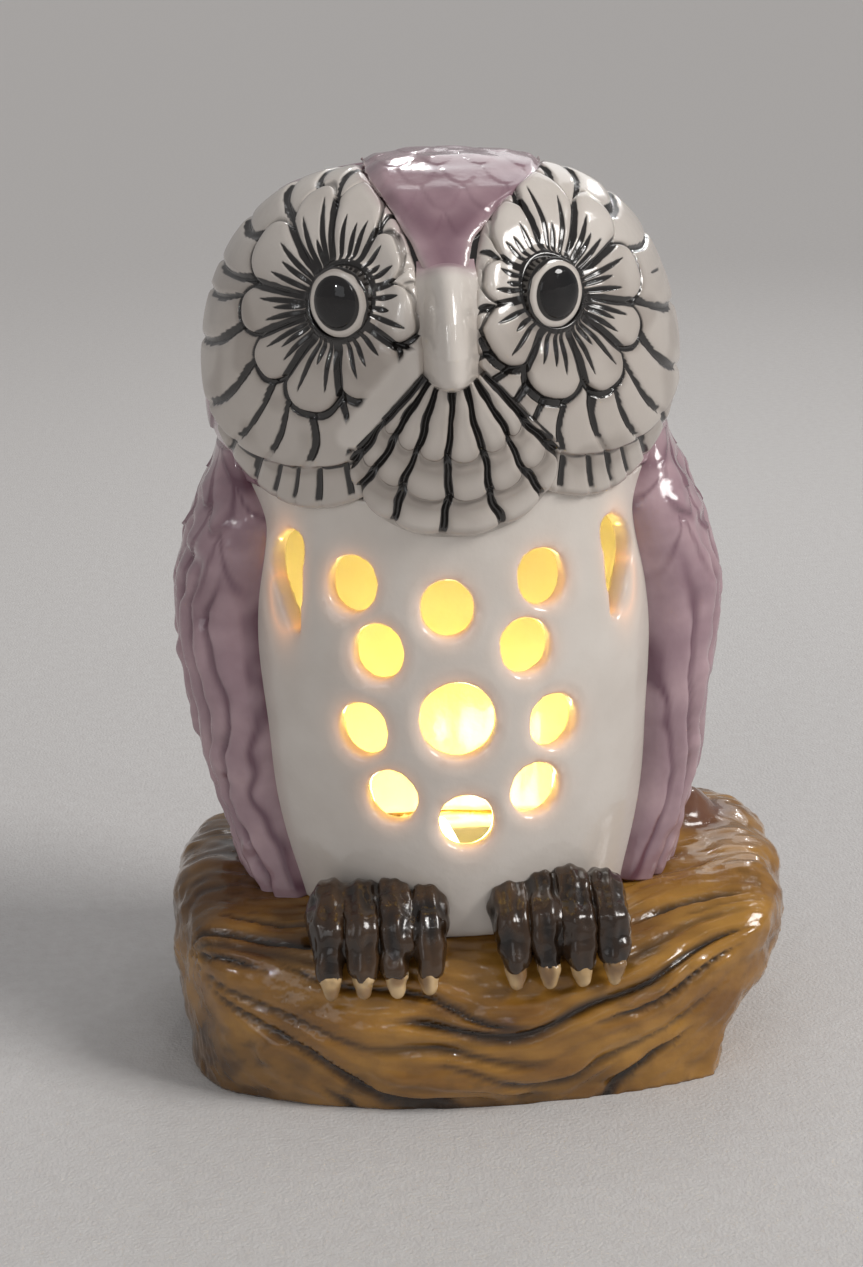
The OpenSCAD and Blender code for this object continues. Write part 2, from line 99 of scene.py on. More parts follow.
def reach(p):
    """How many times further out than the owl's form each point lies, measured level from its axis."""
    x, y, z = p[..., 0], p[..., 1], p[..., 2]
    front = y < 0
    n = np.where(front, curve(z, 4), 2)
    depth = np.where(front, curve(z, 2), curve(z, 3))
    return ((np.abs(x) / curve(z, 1)) ** n + (np.abs(y) / depth) ** n) ** (1 / n)


def on_form(q, z, out=0.0):
    """Points on the form at angle q (radians, 0 at +X, negative in front) and height z."""
    s, c = np.sin(q), np.cos(q)
    n = np.where(s < 0, curve(z, 4), 2)
    depth = np.where(s < 0, curve(z, 2), curve(z, 3)) + out
    return np.stack([(curve(z, 1) + out) * np.sign(c) * np.abs(c) ** (2 / n),
                     depth * np.sign(s) * np.abs(s) ** (2 / n), z + 0 * q], axis=-1)


def normals(p):
    """Unit outward normals of the form at points on it."""
    g = np.stack([reach(p + d) - reach(p - d) for d in np.eye(3) * 0.2], axis=-1)
    return g / np.maximum(np.linalg.norm(g, axis=-1, keepdims=True), 1e-9)


def cast(u, v, turn, side):
    """Points on the form seen along the way that a face disc looks: u outwards across it, v up."""
    along = np.array([side * math.sin(turn), -math.cos(turn), 0])
    across = np.array([side * math.cos(turn), math.sin(turn), 0])
    start = u[..., None] * across + v[..., None] * np.array([0, 0, 1])
    low, high = np.zeros(u.shape), np.full(u.shape, 60.0)
    for _ in range(30):
        mid = (low + high) / 2
        inside = reach(start + mid[..., None] * along) < 1
        low, high = np.where(inside, mid, low), np.where(inside, high, mid)
    return start + low[..., None] * along


# ---------- meshes ----------

def shown(name, verts, faces, smooth_shading=True):
    mesh = bpy.data.meshes.new(name)
    mesh.from_pydata((np.asarray(verts) * MM).tolist(), [], faces)
    mesh.validate()
    if smooth_shading:
        mesh.shade_smooth()
    obj = bpy.data.objects.new(name, mesh)
    bpy.context.scene.collection.objects.link(obj)
    return obj


def thick_sheet(name, outer, inner, around=False):
    """A closed solid between two equal grids of points. around joins its last column to its first."""
    n, m = outer.shape[:2]
    index = np.arange(n * m).reshape(n, m)
    if around:
        index = np.concatenate([index, index[:, :1]], axis=1)
    back = index + n * m
    quads = [np.stack([index[:-1, :-1], index[:-1, 1:], index[1:, 1:], index[1:, :-1]], -1).reshape(-1, 4),
             np.stack([back[:-1, :-1], back[1:, :-1], back[1:, 1:], back[:-1, 1:]], -1).reshape(-1, 4)]
    edges = [(index[0], back[0], 1), (index[-1], back[-1], -1)]
    if not around:
        edges += [(index[:, 0], back[:, 0], -1), (index[:, -1], back[:, -1], 1)]
    for a, b, way in edges:
        rim = np.stack([a[:-1], b[:-1], b[1:], a[1:]], -1)
        quads.append(rim if way > 0 else rim[:, ::-1])
    verts = np.concatenate([outer.reshape(-1, 3), inner.reshape(-1, 3)])
    return shown(name, verts, np.concatenate(quads).tolist())


def points(obj):
    co = np.empty(len(obj.data.vertices) * 3)
    obj.data.vertices.foreach_get("co", co)
    return co.reshape(-1, 3) / MM


def put_points(obj, p):
    obj.data.vertices.foreach_set("co", (p * MM).ravel())
    obj.data.update()


def directions(obj):
    d = np.empty(len(obj.data.vertices) * 3)
    obj.data.vertices.foreach_get("normal", d)
    return d.reshape(-1, 3)


def coat(obj, **layers):
    """Stores painted layers, one value from 0 to 1 per vertex. A sheet's layers cover its outer grid only."""
    count = len(obj.data.vertices)
    for name, values in layers.items():
        full = np.zeros(count)
        flat = np.broadcast_to(values, np.shape(values)).ravel()
        full[:len(flat)] = np.clip(flat, 0, 1)
        obj.data.attributes.new(name, "FLOAT", "POINT").data.foreach_set("value", full)


def relax(obj, rounds, free=1.0):
    """Moves each vertex towards the middle of its neighbours, where free is 1."""
    edges = np.empty(len(obj.data.edges) * 2, dtype=np.int64)
    obj.data.edges.foreach_get("vertices", edges)
    a, b = edges.reshape(-1, 2).T
    p = points(obj)
    count = np.bincount(a, minlength=len(p)) + np.bincount(b, minlength=len(p))
    for _ in range(rounds):
        total = np.stack([np.bincount(a, p[b, k], len(p)) + np.bincount(b, p[a, k], len(p))
                          for k in range(3)], -1)
        p = p + (total / np.maximum(count, 1)[:, None] - p) * 0.5 * np.reshape(free, (-1, 1))
    put_points(obj, p)


def modelled(name, node, size, rounds, floor=-1.0):
    """A finer copy of a CAD node as one skin, with its edges rounded off except at the height floor."""
    mesh = NODES[node].data.copy()
    obj = bpy.data.objects.new(name, mesh)
    bpy.context.scene.collection.objects.link(obj)
    remesh = obj.modifiers.new("skin", "REMESH")
    remesh.mode = "VOXEL"
    remesh.voxel_size = size * MM
    done = bpy.data.meshes.new_from_object(obj.evaluated_get(bpy.context.evaluated_depsgraph_get()))
    obj.modifiers.clear()
    obj.data = done
    done.materials.clear()
    done.shade_smooth()
    relax(obj, rounds, smooth(floor + 0.6, floor + 2, points(obj)[:, 2]))
    return obj


def stands_for(obj, node, material, body="owl"):
    obj.data.materials.clear()
    obj.data.materials.append(material)
    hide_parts(node)
    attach(obj, body)
    return obj


# ---------- feathers ----------

def scales(a, b, width, length):
    """Overlapping round-ended feathers, a across and b down: height, 0 to 1, and mm to an edge."""
    row = np.floor(b / length)
    height = np.zeros(np.shape(a))
    edge = np.full(np.shape(a), 9.0)
    for back in (0, 1):
        r = row - back
        u = np.mod(a / width + 0.5 * np.mod(r, 2), 1) - 0.5
        v = b / length - r
        tip = 1.75 - 2.6 * u * u - 6 * u**4
        here = v < tip
        dome = (0.25 + 0.75 * np.clip(v / 1.7, 0, 1)) * (1 - 1.4 * u * u)
        height = np.where(here, dome, height)
        edge = np.where(here, np.minimum(edge, (tip - v) * length), edge)
        edge = np.where(~here, np.minimum(edge, (v - tip) * length + 0.4), edge)
    return height, edge


# ---------- face discs ----------

EYE = (-4.9, 130.0)              # an eye, across and up on its disc
RIM = (5.2, 122.4, 22.8, 24.8)   # a disc's outline: middle and half sizes
BAND = (5.0, 122.4, 24.6, 17.0)  # where its upper band of feathers ends
FLOWER = (-1.6, 130.3, 15.8, 16.0)   # the petals' tips
SOCKET = 4.7                     # radius of the hole for the eye
# Angles in degrees at which the petals of the left and right disc meet.
PETALS = {-1: [5.8, 38.5, 66.1, 109.5, 160.1, 213.1, 269.2, 309.1, 339.1],
          1: [19.4, 46.8, 86.4, 140.5, 184.8, 240.1, 286.8, 320.7, 347.6]}
# The brow's V: height, and its left and right edges.
BROW = np.array([[134.6, -3.2, 3.2], [139, -5.2, 4.4], [143, -8, 9.6], [146.4, -11, 17], [156, -15, 24]])
NOSE_HALF = 3.2
BIB_REACH = 31.4                 # how far the bib reaches down from the point that its feathers fan out from


def to_ellipse(ellipse, phi):
    """Distance from the eye to an ellipse round it, in the direction phi."""
    cu, cv, a, b = ellipse
    du, dv = (EYE[0] - cu) / a, (EYE[1] - cv) / b
    cx, sy = np.cos(phi) / a, np.sin(phi) / b
    qa, qb, qc = cx**2 + sy**2, du * cx + dv * sy, du**2 + dv**2 - 1
    return (-qb + np.sqrt(qb**2 - qa * qc)) / qa


def between(phi, borders):
    """Where each angle lies in its cell, -1 to 1, with the cell's half width and its number."""
    edges = np.radians(np.concatenate([[borders[-1] - 360], borders, [borders[0] + 360]]))
    p = np.mod(phi, 2 * math.pi)
    i = np.clip(np.searchsorted(edges, p, "right") - 1, 0, len(edges) - 2)
    half = (edges[i + 1] - edges[i]) / 2
    mid = (edges[i + 1] + edges[i]) / 2
    return (p - mid) / half, half, i


def clear_of_brow(p, side):
    """How far each point lies outwards of the brow and the nose, in mm."""
    column = 1 if side < 0 else 2
    brow_edge = np.interp(p[..., 2], BROW[:, 0], BROW[:, column])
    edge = np.where(p[..., 2] < BROW[0, 0], side * NOSE_HALF, brow_edge)
    return side * (p[..., 0] - edge)


def disc_grid(side):
    """A polar grid on the form about the eye, as far as the disc's outline."""
    phi = np.linspace(0, 2 * math.pi, 480, endpoint=False)
    far = to_ellipse(RIM, phi)
    share = np.linspace(0.08, 1, 200)[:, None]
    u, v = EYE[0] + share * far * np.cos(phi), EYE[1] + share * far * np.sin(phi)
    inside = (clear_of_brow(cast(u, v, TURN, side), side) > 0) & (v < CROWN - 0.7)
    cut = np.where(inside.all(0), 1, share[np.argmin(inside, axis=0), 0])
    for _ in range(3):
        cut = np.minimum(cut, (np.roll(cut, 1) + np.roll(cut, -1)) / 2 + 0.002)
    reach_out = far * cut
    s = np.linspace(0, 1, 165)[:, None]
    r = SOCKET + s * (reach_out - SOCKET)
    phi = np.broadcast_to(phi, r.shape)
    return r, phi, np.broadcast_to(far, r.shape)


def strokes(r, cell, half, number, flower):
    """Two or three tapered strokes that run out from the eye in each petal."""
    ink = np.zeros(r.shape)
    for place, length in ((-0.46, 0.66), (0.04, 0.46), (0.42, 0.74)):
        end = SOCKET + (flower - SOCKET) * (length + 0.09 * np.sin(number * 2.4 + 7 * place))
        way = np.clip((r - SOCKET - 0.4) / (end - SOCKET - 0.4), 0, 1)
        width = 0.44 * np.sin(np.pi * np.clip(way * 0.8 + 0.2, 0, 1)) ** 0.8 * (0.7 + 0.4 * way)
        away = np.abs(r * np.sin((cell - place * (1 + 0.06 * way)) * half))
        ink = np.maximum(ink, smooth(width + 0.1, width - 0.12, away) * (way > 0) * (way < 1))
    return ink


def dividers(r, phi, step, start, width, wobble):
    """Black lines across a band of feathers, one every step degrees, and the place in each feather."""
    place = np.mod(np.degrees(phi) / step + start, 1) - 0.5
    gap = np.abs((0.5 - np.abs(place)) * r * math.radians(step))
    return smooth(width + 0.14, width - 0.14, gap + 0.7 * wobble), place, gap


def face_disc(side):
    node = "left_face_disc" if side < 0 else "right_face_disc"
    r, phi, far = disc_grid(side)
    base = cast(EYE[0] + r * np.cos(phi), EYE[1] + r * np.sin(phi), TURN, side)
    out = normals(base)
    cell, half, number = between(phi, PETALS[side])
    a = np.abs(cell)
    wobble = noise(base, 3.0, 2) * 0.25 + noise(base, 1.1, 5) * 0.12
    flower = to_ellipse(FLOWER, phi) * (1 + 0.03 * np.sin(number * 2.1))
    flower = np.minimum(flower, far - 1) * (1 - 0.24 * a**3)
    # low marks the lower side of the disc, where painted shade and heavier dark lines are laid on.
    low = smooth(-0.35, 0.45, -np.sin(phi - 0.3))
    # petals, raised and rounded at their edges
    border = r * np.sin(half * (1 - a))
    rim = np.minimum(border, np.maximum(flower - r, 0))
    petal = smooth(-0.3, 0.3, flower - r)
    swell = np.sqrt(np.clip(1 - (1 - np.clip(rim / 1.7, 0, 1)) ** 2, 0, 1))
    band_end = to_ellipse(BAND, phi)
    level = EYE[1] + band_end * np.sin(phi)
    band_end = np.minimum(band_end + 40 * smooth(BAND[1] - 4, BAND[1], level), far)
    upper = smooth(0.35, -0.35, r - band_end)
    height = 1.25 + 0.65 * upper + petal * (0.15 + 0.85 * swell * smooth(SOCKET + 1, SOCKET + 5, r))
    # Black outlines round the petals: black paint, drawn thicker and darker on the lower side of the disc as
    # painted shadow under the raised petals.
    ink = smooth(0.66, 0.36, border + 0.5 * wobble - 0.14 * low) * smooth(flower + 0.3, flower - 0.1, r)
    outside = np.abs(r - flower - 0.35 * low * (1 + 2 * a**5))
    outline = smooth(0.5 + 0.55 * low * (0.4 + a**4), 0.2 + 0.35 * low, outside + 0.8 * wobble)
    ink = np.maximum(ink, outline * np.clip(0.35 + 0.75 * low + 0.3 * noise(base, 4, 3), 0, 1))
    inked = strokes(r, cell, half, number, flower)
    ink = np.maximum(ink, inked)
    height = height - 0.22 * inked - 0.35 * outline
    # the band round the petals, and the smaller feathers below it
    width = band_end - flower
    t = np.clip((r - flower) / np.maximum(width, 0.2), 0, 1.5)
    start = 0.35 if side < 0 else 0.1
    bent = phi + 0.06 * np.sin(3 * t) + 0.03 * np.sin(phi * 7)
    lines, place, gap = dividers(r, bent, 14.6, start, 0.56, wobble)
    lines = lines * (1 - petal) * smooth(0.93, 0.82, t + 0.12 * noise(base, 3, 6)) * (t < 1)
    lines = lines * smooth(2.0, 3.2, width)
    ink = np.maximum(ink, lines)
    height = height + (1 - petal) * upper * (0.28 * (1 - (2 * place) ** 4) - 0.45 * bell(gap, 0.5))
    tail = np.clip((r - band_end) / np.maximum(far - band_end, 0.2), 0, 1)
    short, place, gap = dividers(r, phi + 0.025 * np.sin(phi * 11), 8.2, start + 0.3, 0.46, wobble)
    below = (1 - upper) * smooth(1.2, 2.4, far - band_end)
    short = short * below * smooth(0.04, 0.12, tail) * smooth(0.85, 0.7, tail)
    ink = np.maximum(ink, short)
    height = height + below * (0.3 * (1 - (2 * place) ** 4) - 0.4 * bell(gap, 0.5))
    # Painted shadow: a dark line just below the upper band's edge, where it steps down, put into the black
    # layer with the real black lines.
    step = np.abs(r - band_end - 0.3)
    band_shadow = smooth(0.6, 0.15, step + 1.2 * wobble) * below * np.clip(0.45 + 0.7 * noise(base, 3, 4), 0, 1)
    ink = np.maximum(ink, band_shadow)
    # black round the eye, on a low rim
    ink = np.maximum(ink, smooth(0.95, 0.6, r - SOCKET + wobble * 0.8))
    height = height + 0.75 * bell(r - SOCKET - 0.3, 0.8)
    if side < 0:
        p0, p1 = np.array([-4.6, 122.4]), np.array([-14.4, 110.8])
        flat = base[..., [0, 2]]
        along = np.clip(((flat - p0) @ (p1 - p0)) / np.sum((p1 - p0) ** 2), 0, 1)
        away = np.linalg.norm(flat - p0 - along[..., None] * (p1 - p0), axis=-1)
        ridge = smooth(2.7, 1.3, away + 0.5 * wobble)
        height = height * (1 - ridge) + (2.75 - 0.5 * along) * ridge
        ink = ink * (1 - 0.95 * ridge)
    else:
        ridge = 0 * r
    inner = clear_of_brow(base, side)
    pivot = base - [0.4, 0, NECK + 25.2]
    fan = np.degrees(np.arctan2(np.abs(pivot[..., 0]), -pivot[..., 2]))
    bib_end = BIB_REACH - 9 * np.clip(fan / 44, 0, 1) ** 3.2
    under = smooth(42, 39, fan) * smooth(bib_end - 0.8, bib_end - 2.4, np.hypot(pivot[..., 0], pivot[..., 2]))
    height = height * (1 - 0.75 * under)
    edge = np.clip((far - r) / 1.7, 0, 1)
    height = height * np.sqrt(np.clip(1 - (1 - edge) ** 2, 0.03, 1)) * smooth(-0.6, 1.2, inner) ** 0.5
    # Grey-brown tint: washed round the eye and along the petal outlines, and painted shade on the lower side
    # of the disc and just below the band's edge.
    wash = 0.7 * bell(outside, 1.2) * (0.25 + 0.75 * low) + 0.35 * bell(border, 1.0) * petal
    wash = wash + 0.6 * bell(step, 1.3) * below + 0.5 * low
    wash = wash + 0.25 * smooth(0, 0.6, noise(base, 5, 11)) * (0.4 + low)
    wash = (wash + 0.65 * smooth(8, 1.0, r - SOCKET) * (0.2 + 0.8 * low) + 0.06) * (1 - 0.85 * ridge)
    pink = 0.45 * smooth(2.6, 0.6, inner) * smooth(BROW[0, 0] + 1, BROW[1, 0], base[..., 2])
    name = "disc_left" if side < 0 else "disc_right"
    obj = thick_sheet(name, base + out * height[..., None], base - out * 0.25, True)
    coat(obj, ink=ink, wash=wash, mauve=pink)
    return stands_for(obj, node, GLAZE)


def eyes(side):
    name = "left" if side < 0 else "right"
    low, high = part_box(name + "_pupil")
    middle = np.array((low + high) / 2) / MM + [-side * 0.75, -0.2, 0.75]
    axis = np.array([side * math.sin(math.radians(30)), -math.cos(math.radians(30)), 0])
    across = np.array([side * math.cos(math.radians(30)), math.sin(math.radians(30)), 0])
    up = np.array([0, 0, 1.0])
    turn = np.linspace(0, 2 * math.pi, 96, endpoint=False)

    def lathe(title, outline, tall):
        radius, depth = outline[:, 0][:, None], outline[:, 1][:, None]
        p = (middle + axis * depth[..., None] + radius[..., None] * np.cos(turn)[None, :, None] * across
             + radius[..., None] * tall * np.sin(turn)[None, :, None] * up)
        rings = len(outline)
        index = np.arange(rings * 96).reshape(rings, 96)
        index = np.concatenate([index, index[:, :1]], axis=1)
        quads = np.stack([index[:-1, :-1], index[:-1, 1:], index[1:, 1:], index[1:, :-1]], -1).reshape(-1, 4)
        if side < 0:
            quads = quads[:, ::-1]
        return shown(title, p.reshape(-1, 3), quads.tolist()), p

    a = np.linspace(0, math.pi / 2, 26)
    ball = np.stack([5.0 * np.cos(a) + 0.02, -0.5 + 1.3 * np.sin(a) ** 0.7], -1)
    ball = np.concatenate([[[4.9, -5.2], [4.97, -3.4]], ball])
    obj, p = lathe("eyeball_" + name, ball, 1.06)
    r = np.linalg.norm((p - middle) @ np.stack([across, up], -1) / np.array([1, 1.06]), axis=-1)
    ink = np.maximum(smooth(4.6, 4.85, r + 0.15 * noise(p, 1.5, 4)), smooth(3.95, 3.65, r))
    coat(obj, ink=ink, wash=0.15 + 0.5 * smooth(4.2, 4.6, r), mauve=0 * ink)
    stands_for(obj, name + "_eyeball", GLAZE)
    dome = np.stack([3.6 * np.cos(a) + 0.02, 0.2 + 1.5 * np.sin(a)], -1)
    dome = np.concatenate([[[3.5, -1.6]], dome])
    middle = middle + across * 0.25 + up * 0.2
    obj, _ = lathe("pupil_" + name, dome, 1.1)
    stands_for(obj, name + "_pupil", BLACK)


# ---------- chin, nose and brow ----------

def chin_bib():
    top = NECK + 25.2
    borders = np.radians([-44, -39.5, -31, -19, -3.5, 12, 26, 38, 44])
    phi = np.linspace(borders[0], borders[-1], 320)[None, :]
    side = np.abs(phi / borders[-1])
    reach_out = BIB_REACH - 9 * side**3.2
    s = np.linspace(0, 1, 200)[:, None]
    r = 6.5 + s * (reach_out - 6.5)
    phi = np.broadcast_to(phi, r.shape)
    base = cast(0.4 + r * np.sin(phi), top - r * np.cos(phi), 0.0, 1)
    out = normals(base)
    wobble = noise(base, 2.4, 3) * 0.25 + noise(base, 0.9, 6) * 0.1
    sway = phi + 0.012 * np.sin(r * 0.5 + 9 * phi) + 0.005 * np.sin(r * 1.3 + 5)
    i = np.clip(np.searchsorted(borders, sway, "right") - 1, 0, len(borders) - 2)
    half = (borders[i + 1] - borders[i]) / 2
    cell = (sway - (borders[i + 1] + borders[i]) / 2) / half
    fall = 1 - 0.16 * side**2
    height = 1.65 + 0 * r
    ink = np.zeros(r.shape)
    wash = np.zeros(r.shape)
    for k, row in enumerate((18.0 * fall, 24.9 * fall)):
        edge = row - 1.3 * np.abs(cell) ** 2.5
        near = r - edge
        height = height + 0.75 * smooth(0.35, -0.35, near) - 0.4 * bell(near - 0.5, 0.5)
        faint = np.clip(0.3 + 0.6 * noise(base, 3, 7 + k), 0, 1)
        ink = np.maximum(ink, smooth(0.45, 0.12, np.abs(near) + wobble) * faint)
        # Painted shade just below each row's edge.
        wash = np.maximum(wash, bell(near - 0.9, 1.8))
    border = np.abs(r * np.sin(half * (1 - np.abs(cell))))
    outer = np.abs(phi) > math.radians(34)
    thick = 0.45 + 0.14 * smooth(14, 26, r) + 0.12 * outer
    lines = smooth(thick + 0.14, thick - 0.14, border + 0.6 * wobble)
    lines = lines * smooth(reach_out - 0.5, reach_out - 1.6, r)
    lines = lines * (np.abs(phi) < math.radians(43))
    side_line = smooth(1.5, 0.8, (1 - side) * r * borders[-1] + wobble) * smooth(24, 20, r)
    lines = np.maximum(lines, side_line)
    height = height + 0.35 * (1 - cell**4) - 0.5 * bell(border, 0.55)
    ink = np.maximum(ink, lines)
    edge = np.clip((reach_out - 0.7 * np.abs(cell) ** 2.4 - r) / 1.9, 0, 1)
    height = height * np.sqrt(np.clip(1 - (1 - edge) ** 2, 0.01, 1)) * smooth(1.04, 0.9, side) ** 0.6
    # Greyer along the dividing lines and overall, on top of the painted shade below the rows.
    wash = 0.8 * wash + 0.35 * bell(border, 1.3) + 0.36 + 0.25 * smooth(0, 0.6, noise(base, 6, 1))
    obj = thick_sheet("bib", base + out * height[..., None], base - out * 0.3)
    coat(obj, ink=ink, wash=wash, mauve=0 * ink)
    return stands_for(obj, "chin_bib", GLAZE)


def nose():
    """A soft ridge between the discs that swells into the rounded beak."""
    z = np.linspace(BROW[0, 0] + 1.2, 116.6, 170)[:, None]
    x = np.linspace(-1, 1, 120)[None, :] * (4.2 + 1.4 * smooth(BROW[0, 0] - 0.6, 129, z))
    base = cast(x, z + 0 * x, 0.0, 1)
    out = normals(base)
    z = base[..., 2]
    half = np.interp(z, [117, 120, 123, 127, 131, 136], [3.2, 4.0, 4.1, 3.7, 3.3, 3.0])
    swell = np.interp(z, [118, 123, 127, 131, 133, 134.4, 136], [5.0, 5.1, 4.0, 2.2, 1.2, 0.5, 0])
    across = np.clip(np.abs(x) / half, 0, 1)
    tip = np.clip((z - 117.3 - 1.2 * across**2) / 3.4, 0, 1)
    tip = np.sqrt(np.clip(1 - (1 - tip) ** 2, 0, 1))
    body = (np.cos(across * math.pi) * 0.5 + 0.5) ** 0.8
    flank = np.exp(-(x / 4.4) ** 2) * smooth(117.2, 119.5, z)
    height = 0.3 + (2.7 - 2.0 * smooth(133.6, 135.6, z)) * flank + swell * body * tip
    low = smooth(119.6, 117.6, z) * (across < 1)
    ink = 0.8 * smooth(118.4, 117.5, z + 0.5 * noise(base, 1.5, 2)) * (across < 0.95)
    # Painted shade on the nose's flanks, where it meets the discs; also greyer at its lower end.
    wash = 0.35 * bell(across - 0.95, 0.3) * smooth(134, 128, z) + 0.35 * low + 0.1
    obj = thick_sheet("nose", base + out * height[..., None], base - out * 0.3)
    coat(obj, ink=ink, wash=wash, mauve=0.9 * smooth(BROW[0, 0] - 2.2, BROW[0, 0] + 0.6, z))
    return stands_for(obj, "beak", GLAZE)


def brow():
    obj = modelled("brow", "brow_ridge", 0.35, 12)
    p = points(obj)
    height, edge = scales(p[:, 0] + 3, 150 - p[:, 2] - p[:, 1] * 0.7, 6.5, 7)
    crown = smooth(138, 142, p[:, 2])
    shade = smooth(2.0, 0, edge) * crown
    inner = np.minimum(p[:, 0] - np.interp(p[:, 2], BROW[:, 0], BROW[:, 1]),
                       np.interp(p[:, 2], BROW[:, 0], BROW[:, 2]) - p[:, 0])
    sink = 0.9 * smooth(3.5, 0.5, inner) * smooth(139, 145, p[:, 2])
    put_points(obj, p + directions(obj) * (0.18 * height * crown + 0.2 * noise(p, 4, 2) - sink)[:, None])
    middle = smooth(0.5, 4, inner) * smooth(147, 140, p[:, 2])
    # Painted shade at the crown's feather edges; darker in the lower middle of the V and at random.
    deep = 0.14 * shade + 0.15 + 0.5 * middle + 0.3 * noise(p, 4, 6)
    coat(obj, ink=0 * shade, wash=0 * shade, mauve=smooth(-0.6, 1.6, inner) * 0.6 + 0.4, deep=deep)
    return stands_for(obj, "brow_ridge", GLAZE)


# ---------- head and body ----------

def head():
    q = np.linspace(-math.pi, math.pi, 420, endpoint=False)[None, :]
    lower = np.linspace(NECK, CROWN - 12, 90)
    upper = CROWN - 12 + (12 - 0.6) * np.sin(np.linspace(0, math.pi / 2, 50)[1:])
    z = np.concatenate([lower, upper])[:, None]
    base = on_form(q, z + 0 * q)
    closing = on_form(q, CROWN - 0.6 + 0 * q)[0]
    caps = [closing * [k, k, 0] + [0, 0, CROWN - 0.6 + 0.6 * (1 - k * k)] for k in (0.75, 0.5, 0.25, 0.02)]
    base = np.concatenate([base, np.array(caps)])
    out = normals(base)
    out[-4:] = [0, 0, 1]
    q = np.arctan2(base[..., 1], base[..., 0])
    ring = np.hypot(base[..., 0], base[..., 1])
    down = np.where(base[..., 2] > CROWN - 10, ring * 0.92, 0) + np.where(
        base[..., 2] > CROWN - 10, 0, (CROWN - 10 - base[..., 2]) + 24)
    height, edge = scales(q * 21, down, 8.2, 8.2)
    fade = smooth(2, 8, ring)
    relief = 0.75 * height * fade + 0.3 * noise(base, 6, 3)
    shade = smooth(2.4, 0.1, edge) * fade
    front = smooth(-26, -29, base[..., 1])
    inner = base - out * WALL
    inner[-4:, :, :2] = base[-4:, :, :2] * 0.6
    inner[..., 2] = np.maximum(np.minimum(inner[..., 2], CROWN - WALL), NECK)
    obj = thick_sheet("head", base + out * relief[..., None], inner, True)
    # Painted shade at the edges of the head's feathers, over uneven tone.
    deep = 0.5 * shade + 0.3 * noise(base, 7, 2) + 0.1
    coat(obj, ink=front, wash=0 * shade, mauve=1 + 0 * shade, deep=deep)
    return stands_for(obj, "head_shell", GLAZE)


# The round openings: across, up and radius. The pattern leans to one side, as in the CAD.
ROWS = [(14.8, 86), (11.1, 75.5), (15.2, 62.6), (11, 51.4)]
HOLES = [(0, 82.3, 4.1), (0, 64.3, 5.9), (0, 46.9, 4.3)]
HOLES += [(side * x, z, 4.1) for x, z in ROWS for side in (-1, 1)]
LEAN = math.tan(math.radians(2.7))
HOLE_ROW = 50
CRESCENT = (85.3, 51.2)          # height, and the angle from straight in front


def near_hole(p):
    """Distance in mm from each point of the front to the nearest opening's edge."""
    front = curve(p[:, 2], 2)
    angle = np.arctan2(p[:, 0], -p[:, 1])
    best = np.full(len(p), 99.0)
    for x, z, r in HOLES:
        x = x - (z - HOLE_ROW) * LEAN
        turn = math.atan2(x, curve(np.array([float(z)]), 2)[0] - 4)
        away = np.hypot((angle - turn) * (front + 1.5), (p[:, 2] - z) * 0.92) - r
        best = np.minimum(best, np.abs(away))
    for side in (-1, 1):
        turn = side * math.radians(CRESCENT[1])
        away = np.hypot((angle - turn) * (front + 1.5) * 1.1, (p[:, 2] - CRESCENT[0]) * 0.48) - 3.9
        best = np.minimum(best, np.abs(away))
    return np.where(p[:, 1] < 0, best, 99.0)


def body():
    obj = modelled("body", "body_shell", 0.6, 9)
    p = points(obj)
    k = reach(p)
    ring = np.hypot(p[:, 0], p[:, 1])
    beyond = (k - 1) * ring / np.maximum(k, 0.1)
    gap = near_hole(p)
    settle = smooth(-0.5, -0.2, beyond) * np.where(p[:, 1] < 0, smooth(1.2, 2.4, gap), 1)
    settle = settle * smooth(NECK, NECK - 1.5, p[:, 2])
    target = p.copy()
    target[:, :2] = p[:, :2] / k[:, None]
    p = p + (target - p) * settle[:, None]
    outside = smooth(-1.6, -0.8, beyond)
    q = np.arctan2(p[:, 1], p[:, 0])
    back = smooth(9, 15, p[:, 1])
    height, edge = scales(q * 33, 101 - p[:, 2], 9.5, 10.5)
    put_points(obj, p)
    out = directions(obj)
    p = p + out * (1.1 * height * back * outside)[:, None]
    put_points(obj, p)
    # Painted shade: greyer towards the flanks of the front; it is also greyer towards the bottom.
    side_shade = smooth(24, 33, np.abs(p[:, 0])) * outside
    low = smooth(40, 28, p[:, 2]) * outside
    # Painted glow: the glaze itself gives off orange light at the openings' edges, brightest at the edge,
    # standing in for the lamp's light.
    glow = np.exp(-gap / 1.0) * np.where(outside > 0.5, 0.75, 1.0) * (beyond > -3.4)
    # Painted shade at the edges of the back's feathers.
    coat(obj, ink=0 * k, wash=(0.12 * side_shade + 0.15 * low) * (1 - back), mauve=back * outside,
         deep=smooth(2.4, 0.1, edge) * back * 0.7, glow=glow)
    return stands_for(obj, "body_shell", GLAZE)


# ---------- wings and tail ----------

